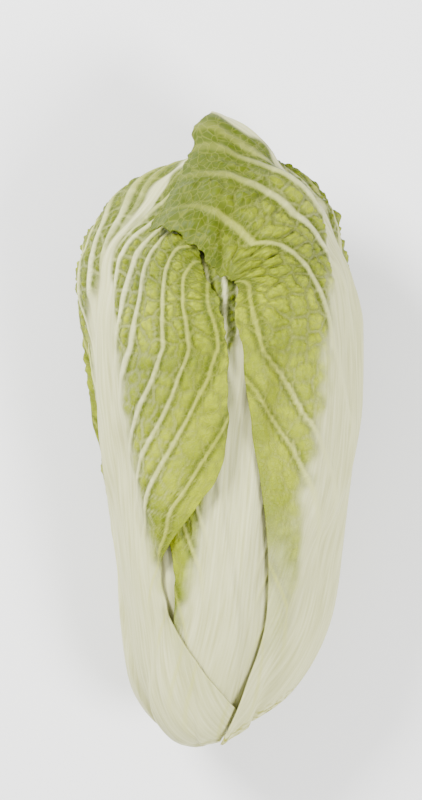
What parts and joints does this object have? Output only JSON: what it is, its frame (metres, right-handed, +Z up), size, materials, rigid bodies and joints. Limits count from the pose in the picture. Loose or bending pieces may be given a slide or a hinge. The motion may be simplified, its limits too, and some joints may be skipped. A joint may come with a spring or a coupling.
{
  "type": "napa cabbage",
  "caption": "Whole head of napa cabbage lying on its side: overlapping crinkled yellow-green leaves with broad white midribs round a dense heart, stem end cut at a slant",
  "frame": {"origin": "under the middle of the head, on the surface it rests on", "axes": "+Y along the head from the cut base to the leaf tips, +Z up, +X to the right when seen from above with the tips away from the viewer"},
  "size_m": [0.134, 0.2956, 0.1146],
  "materials": {
    "stem": "smooth cream-white plant flesh, moist on the cut, darker rings where the leaves join",
    "heart": "pale yellow-green packed young leaves, softly crinkled",
    "inner_leaf": "waxy pale yellow-green leaf with a cream midrib and fine raised veins",
    "outer_leaf": "waxy yellow-green crinkled leaf, cream-white ribbed stalk, raised pale net of veins, olive margins"
  },
  "bodies": {
    "root": {"stem": "stem", "heart": "heart", "inner_leaf_top": "inner_leaf", "inner_leaf_under": "inner_leaf", "inner_leaf_left": "inner_leaf", "side_leaf_right": "outer_leaf", "side_leaf_left": "outer_leaf", "front_leaf": "outer_leaf", "under_leaf": "outer_leaf", "left_leaf": "outer_leaf", "right_leaf": "outer_leaf"}
  },
  "joints": []
}
